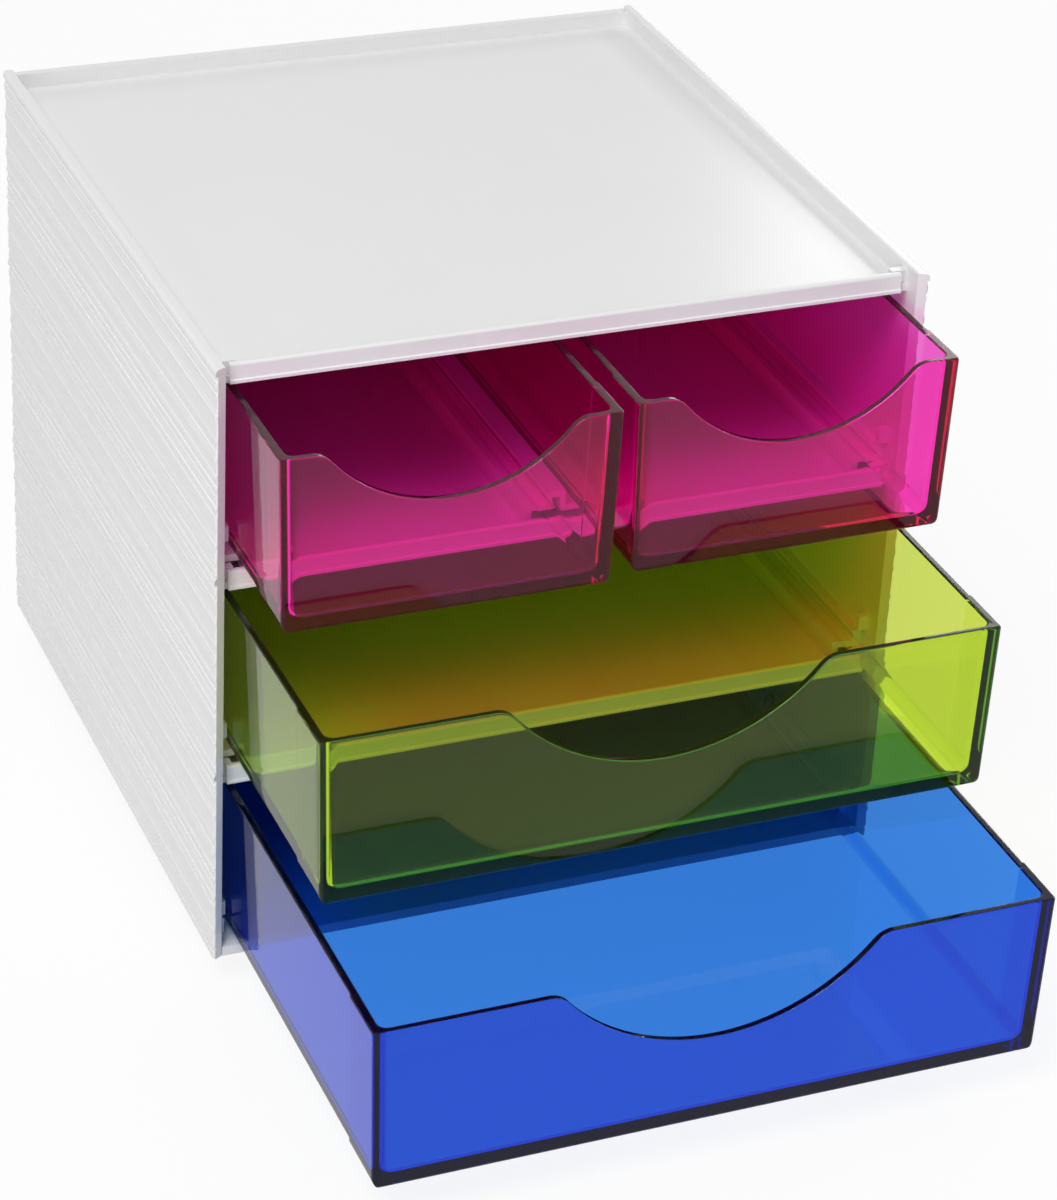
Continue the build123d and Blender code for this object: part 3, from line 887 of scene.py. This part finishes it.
def housing(level, node):
    """One storey of the casing, as a single piece."""
    z0 = storey_foot[level]
    z1 = z0 + pitch
    shape = bmesh.new()
    for side in (-1, 1):
        side_wall_shape(shape, z0, side)
    shelf_top = z1 - tray_drop
    shelf_front = lip_front_y + lip_thickness / 2
    across = (-inner_x, inner_x)
    block(shape, across, (shelf_front, inner_back_y), (shelf_top - shelf_thickness, shelf_top))
    back_foot = z0 if level == 0 else z0 - back_below_top + seam_gap
    block(shape, across, (inner_back_y, back_y), (back_foot, z1 - back_below_top))
    lip_shape(shape, z1)
    guides_and_stops(shape, level)
    core = from_bmesh(node + "_core", shape)
    round_edges(core, edge_round)
    made = join([core, ribbed_skin(node + "_skin", z0)], "casing_" + node)
    smooth(made)
    clad(made, casing_white, "casing")
    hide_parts(node)
    return made


for level, node in enumerate(("bottom_housing", "middle_housing", "top_housing")):
    made = housing(level, node)
    print(made.name, len(made.data.polygons), "faces")

# %% [markdown]
# A drawer is one clear moulding with rounded corners, a rolled rim and a finger scoop. Refraction shows
# every flaw in a clear shell, so it is built as one closed skin of rings: up the outside, over the rim,
# down the inside. Each ring has the same stations, so the faces between two rings are clean quads, and
# the scoop is made by letting the rings dip along the front wall.

# %% Drawers: sizes and scoop
drawer_wall = 1.9
drawer_floor = 2.2
drawer_draft = 1.0
drawer_corner = 3.0
drawer_edge = 1.0
inner_corner = 3.0
inner_upright = 2.4
rim_round = 0.45
front_band = 16.0
band_slope = 0.25
scoop_shoulder = 6.0
scoop_foot = 6.0
drawer_hold = 35.0
nub_slope = 0.05
tiny = 0.01
SHOULDER_STEPS = 6
SCOOP_STEPS = 14
CORNER_STEPS = 6
ROUND_STEPS = 6
RIM_STEPS = 4


def scoop_arc(width, depth):
    """Radius of a scoop's wide arc, where its shoulders begin to turn, and where they touch the arc."""
    radius = ((width / 2) ** 2 + depth ** 2) / (2 * depth) - scoop_shoulder
    turn = math.atan2(radius - depth + scoop_shoulder, width / 2)
    return radius, turn, width / 2 - scoop_shoulder * math.cos(turn)


def scoop_dip(x, width, depth):
    """How far the rim dips at x: a wide arc that meets the rim in two rounded shoulders."""
    radius, _, touch = scoop_arc(width, depth)
    x = abs(x)
    if x >= width / 2:
        return 0.0
    if x > touch:
        return scoop_shoulder - math.sqrt(scoop_shoulder ** 2 - (width / 2 - x) ** 2)
    return depth - radius + math.sqrt(radius ** 2 - x ** 2)


def scoop_stations(width, depth):
    """Places across the front wall, close together where the rim bends."""
    radius, turn, touch = scoop_arc(width, depth)
    places = []
    for step in range(SHOULDER_STEPS + 1):
        angle = (math.pi / 2 - turn) * step / SHOULDER_STEPS
        places.append(width / 2 - scoop_shoulder * math.sin(angle))
    last = math.asin(touch / radius)
    for step in range(1, SCOOP_STEPS + 1):
        places.append(radius * math.sin(last * (1 - step / SCOOP_STEPS)))
    return [-place for place in places] + places[-2::-1]


wide_scoop = (86.0, 20.0)
half_scoop = (67.0, 15.5)
print("scoop stations:", len(scoop_stations(*wide_scoop)))

# %% [markdown]
# The stations go once round the drawer. Along the sides they are close together where the wider band
# behind the front ends, and on both flanks of the small nub that stops the drawer when it is pulled out.

# %% Drawers: stations and one ring
def drawer_stations(scoop, side_places):
    """Stations once round a drawer, counter-clockwise from the front left, seen from above."""
    rising = [90 * step / CORNER_STEPS for step in range(CORNER_STEPS + 1)]
    falling = [90 - angle for angle in rising]
    stations = [("front", x) for x in scoop]
    stations += [("corner", 1, -1, angle) for angle in falling]
    stations += [("side", 1, y) for y in side_places]
    stations += [("corner", 1, 1, angle) for angle in rising]
    stations += [("back", 0.0)]
    stations += [("corner", -1, 1, angle) for angle in falling]
    stations += [("side", -1, y) for y in reversed(side_places)]
    stations += [("corner", -1, -1, angle) for angle in rising]
    return stations


def side_x(drawer, skin, sign, y, z, half):
    """Where a side lies at one place, with the wider band and the nub on its outside."""
    x = half
    if skin.is_outer:
        x += front_band_step * min(max((front_band - y) / band_slope, 0.0), 1.0)
        in_length = drawer.nub_places[0] < y < drawer.nub_places[-1]
        in_height = drawer.nub_foot - tiny < z < drawer.nub_foot + stop_height + tiny
        if sign in drawer.nub_sides and in_length and in_height:
            x = drawer.reach[sign]
    return sign * x


def corner_place(skin, sign_x, sign_y, angle, half, near, far):
    """Where an upright corner lies at one angle of its rounding."""
    turn = math.radians(angle)
    step = front_band_step if skin.is_outer and sign_y < 0 else 0.0
    x = sign_x * (half + step - skin.radius + skin.radius * math.cos(turn))
    edge = near + skin.radius if sign_y < 0 else far - skin.radius
    return x, edge + sign_y * skin.radius * math.sin(turn)


def drawer_ring(drawer, skin, side_inset, end_inset, side_z, end_z):
    """One ring of points; sides and ends may have their own inset and height."""
    near = skin.front + end_inset
    far = skin.back - end_inset
    points = []
    for kind, *where in drawer.stations:
        z = side_z if kind == "side" else end_z
        if kind == "corner":
            z = side_z + (end_z - side_z) * math.sin(math.radians(where[2])) ** 2
        half = skin.half_foot + drawer.slope * z - side_inset
        if kind == "front":
            x, y = where[0], near
            share = (z - scoop_foot) / (drawer.rim_z - scoop_foot)
            z -= min(max(share, 0.0), 1.0) * scoop_dip(x, *drawer.scoop)
        elif kind == "back":
            x, y = 0.0, far
        elif kind == "side":
            sign, y = where
            x = side_x(drawer, skin, sign, y, z, half)
        else:
            x, y = corner_place(skin, *where, half, near, far)
        points.append((drawer.centre + x, drawer.low.y + y, drawer.low.z + z))
    return points


print("stations round a wide drawer:", len(drawer_stations(scoop_stations(*wide_scoop), [])))

# %% [markdown]
# The rings follow the wall's profile: the rounded foot, the nub's lower and upper edge, the rim, and the
# inside down to the rounded floor. Sides and ends have their own roundings, so a ring may lie higher at
# the sides than at the ends. The first and the last ring are closed by one flat face each.

# %% Drawers: profile and closed skin
def quarter_round():
    """Inset and rise at each step of a quarter round, as shares of its radius."""
    turns = [math.pi / 2 * step / ROUND_STEPS for step in range(ROUND_STEPS + 1)]
    return [(1 - math.sin(turn), 1 - math.cos(turn)) for turn in turns]


def rim_round_places(rim_z):
    """Inset and height at each step of the rim's rounding, from the wall to the top."""
    turns = [math.pi / 2 * step / RIM_STEPS for step in range(RIM_STEPS + 1)]
    return [(rim_round * (1 - math.cos(turn)), rim_z + rim_round * math.sin(turn)) for turn in turns]


def drawer_rings(drawer, outer, inner):
    """All rings of a drawer, up the outside and down the inside."""
    rings = []
    for inset, rise in quarter_round():
        rings.append(drawer_ring(drawer, outer, drawer_corner * inset, drawer_edge * inset,
                                 drawer_corner * rise, drawer_edge * rise))
    nub_top = drawer.nub_foot + stop_height
    for z in (drawer.nub_foot - nub_slope, drawer.nub_foot, nub_top, nub_top + nub_slope, drawer.rim_z):
        rings.append(drawer_ring(drawer, outer, 0.0, 0.0, z, z))
    rim = rim_round_places(drawer.rim_z)
    for inset, z in rim[1:]:
        rings.append(drawer_ring(drawer, outer, inset, inset, z, z))
    for inset, z in reversed(rim):
        rings.append(drawer_ring(drawer, inner, -inset, -inset, z, z))
    rings.append(drawer_ring(drawer, inner, 0.0, 0.0, scoop_foot, scoop_foot))
    for inset, rise in reversed(quarter_round()):
        side_z = drawer_floor + inner_corner * rise
        end_z = drawer_floor + inner_upright * rise
        rings.append(drawer_ring(drawer, inner, inner_corner * inset, inner_upright * inset, side_z, end_z))
    return rings


def skin_from_rings(name, rings):
    """A closed skin through rings that all have the same number of points."""
    shape = bmesh.new()
    made = [[shape.verts.new(point) for point in points] for points in rings]
    count = len(rings[0])
    for below, above in zip(made, made[1:]):
        for index in range(count):
            after = (index + 1) % count
            shape.faces.new((below[index], below[after], above[after], above[index]))
    shape.faces.new(list(reversed(made[0])))
    shape.faces.new(made[-1])
    return from_bmesh(name, shape)


def drawer_shell(node, level, centre, width, scoop, nub_sides):
    """Closed skin of a drawer, in the place of its node."""
    low, high = box_mm(node)
    length = high.y - low.y
    height = high.z - low.z
    nub_front = length - drawer_hold + stop_setback + stop_length
    nub_back = nub_front + stop_length
    nub_places = [nub_front - nub_slope, nub_front, nub_back, nub_back + nub_slope]
    band_places = [front_band - band_slope, front_band - nub_slope, front_band]
    plain_places = [8.0, 60.0, 105.0]
    side_places = sorted(plain_places + band_places + nub_places)
    drawer = SimpleNamespace(
        low=low, centre=centre, scoop=scoop, slope=drawer_draft / height, rim_z=height - rim_round,
        stations=drawer_stations(scoop_stations(*scoop), side_places),
        nub_sides=nub_sides, nub_places=nub_places, nub_foot=stop_foot(level) - low.z,
        reach={1: high.x - centre, -1: centre - low.x},
    )
    half_foot = width / 2 - drawer_draft - front_band_step
    outer = SimpleNamespace(is_outer=True, half_foot=half_foot, front=0.0, back=length, radius=drawer_edge)
    inner = SimpleNamespace(
        is_outer=False, half_foot=half_foot - drawer_wall, front=drawer_wall,
        back=length - drawer_wall, radius=inner_upright,
    )
    return skin_from_rings(node + "_shell", drawer_rings(drawer, outer, inner))


print("a quarter round takes", ROUND_STEPS, "steps, the rim", RIM_STEPS)

# %% [markdown]
# Two half-width drawers fill the top storey and one wide drawer each of the others. A nub sits only
# where a housing has a stop, so the half-width drawers have one on their outer side.

# %% Drawers: the four of them
soft_edge = 50.0
half_centre = (half_gap + half_width) / 2
drawers = [
    ("drawer_top_left", 2, -half_centre, half_width, half_scoop, (-1,), clear_pink, "top_left_drawer"),
    ("drawer_top_right", 2, half_centre, half_width, half_scoop, (1,), clear_pink, "top_right_drawer"),
    ("drawer_middle", 1, 0.0, wide_width, wide_scoop, (-1, 1), clear_green, "middle_drawer"),
    ("drawer_bottom", 0, 0.0, wide_width, wide_scoop, (-1, 1), clear_blue, "bottom_drawer"),
]
for node, level, centre, width, scoop, nub_sides, material, body in drawers:
    made = drawer_shell(node, level, centre, width, scoop, nub_sides)
    smooth(made, soft_edge)
    clad(made, material, body)
    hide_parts(node)
    print(made.name, len(made.data.polygons), "faces")

# %% [markdown]
# The pieces under the casing and inside the swivel keep their construction shapes, which are already
# finely divided where they are round. They only get their finishes.

# %% Finishes of the construction pieces
finishes = {
    "base_plate": casing_white,
    "centre_guide": casing_white,
    "upper_race": swivel_grey,
    "swivel_foot": swivel_grey,
    "foot_pad": pad_rubber,
    "race_screws": screw_steel,
    "pivot_bush": bearing_plastic,
    "pivot_washer": screw_steel,
    "pivot_screw": screw_steel,
    "pivot_nut": screw_steel,
    "bearing_balls": ball_steel,
    "ball_cage": bearing_plastic,
}
for node, material in finishes.items():
    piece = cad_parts[node]
    piece.data.materials.clear()
    piece.data.materials.append(material)
print(len(finishes), "construction pieces have their finish")

# %% [markdown]
# The photograph is a studio cut-out on white. The floor is pale and keeps the object's soft shadow, but
# towards the camera it is lifted nearly to white. Glass and gloss see the same white around them.

# %% Floor and world
floor_size = 8.0
floor_lift = 0.88
floor_paleness_seen = 0.98
floor_paleness_unseen = 0.65
world_light = 0.30


def seen_by_eye(tree):
    """1 for camera, transmission and glossy rays, which show the surroundings, and 0 for all others."""
    rays = add_node(tree, "ShaderNodeLightPath").outputs
    seen = calc(tree, "MAXIMUM", rays["Is Camera Ray"], rays["Is Transmission Ray"])
    return calc(tree, "MAXIMUM", seen, rays["Is Glossy Ray"])


bpy.ops.mesh.primitive_plane_add(size=floor_size)
floor = bpy.context.object
floor.name = "floor"
floor_pale, tree, surface = new_material("floor pale")
seen = seen_by_eye(tree)
more = floor_paleness_seen - floor_paleness_unseen
paleness = calc(tree, "MULTIPLY_ADD", seen, more, floor_paleness_unseen)
pale = add_node(tree, "ShaderNodeCombineColor", {0: paleness, 1: paleness, 2: paleness})
feed(tree, surface, {"Base Color": pale.outputs["Color"], "Roughness": 0.7, "Specular IOR Level": 0.1})
glow = add_node(tree, "ShaderNodeEmission").outputs["Emission"]
lifted = mixed(tree, calc(tree, "MULTIPLY", seen, floor_lift), surface.outputs["BSDF"], glow)
feed(tree, tree.nodes["Material Output"], {"Surface": lifted})
floor.data.materials.append(floor_pale)

world = bpy.data.worlds.new("studio")
bpy.context.scene.world = world
world.use_nodes = True
tree = world.node_tree
strength = calc(tree, "MULTIPLY_ADD", seen_by_eye(tree), 1.0 - world_light, world_light)
feed(tree, tree.nodes["Background"], {"Color": (1.0, 1.0, 1.0, 1.0), "Strength": strength})
print("floor", floor_size, "m wide; the world lights at", world_light)

# %% [markdown]
# Four lamps light the object. The key is high on the left and grazes the ribs from above. A low fill
# from the left reaches into the drawers and leaves the left wall's slanted front in the shade. One lamp
# behind keeps the back from going dull, and a small one on the right glints on the drawers' rims.

# %% Lamps
lamp_target = Vector((0.0, 0.0, 0.08))


def soft_lamp(name, place, size, power):
    """A square lamp that points at the middle of the object."""
    data = bpy.data.lights.new(name, "AREA")
    data.size = size
    data.energy = power
    lamp = bpy.data.objects.new(name, data)
    bpy.context.scene.collection.objects.link(lamp)
    lamp.location = place
    aim = lamp_target - Vector(place)
    lamp.rotation_euler = aim.to_track_quat("-Z", "Y").to_euler()
    print("lamp", name, "of", power, "W")


soft_lamp("key", (-0.66, -0.66, 1.4), size=0.8, power=15.5)
soft_lamp("fill", (-1.0, -1.2, 0.3), size=0.6, power=5.5)
soft_lamp("back", (1.1, 1.2, 0.7), size=0.7, power=4.0)
soft_lamp("glint", (1.3, 0.2, 0.75), size=0.2, power=3.0)

# %% [markdown]
# A ray that meets all the drawers crosses many walls, so it needs more bounces than an opaque object
# would. The Standard view keeps the colours as they are written.

# %% Render settings that the looks need
scene = bpy.context.scene
scene.view_settings.view_transform = "Standard"
scene.cycles.max_bounces = 24
scene.cycles.transmission_bounces = 20
scene.cycles.transparent_max_bounces = 24
print("bounces:", scene.cycles.max_bounces)
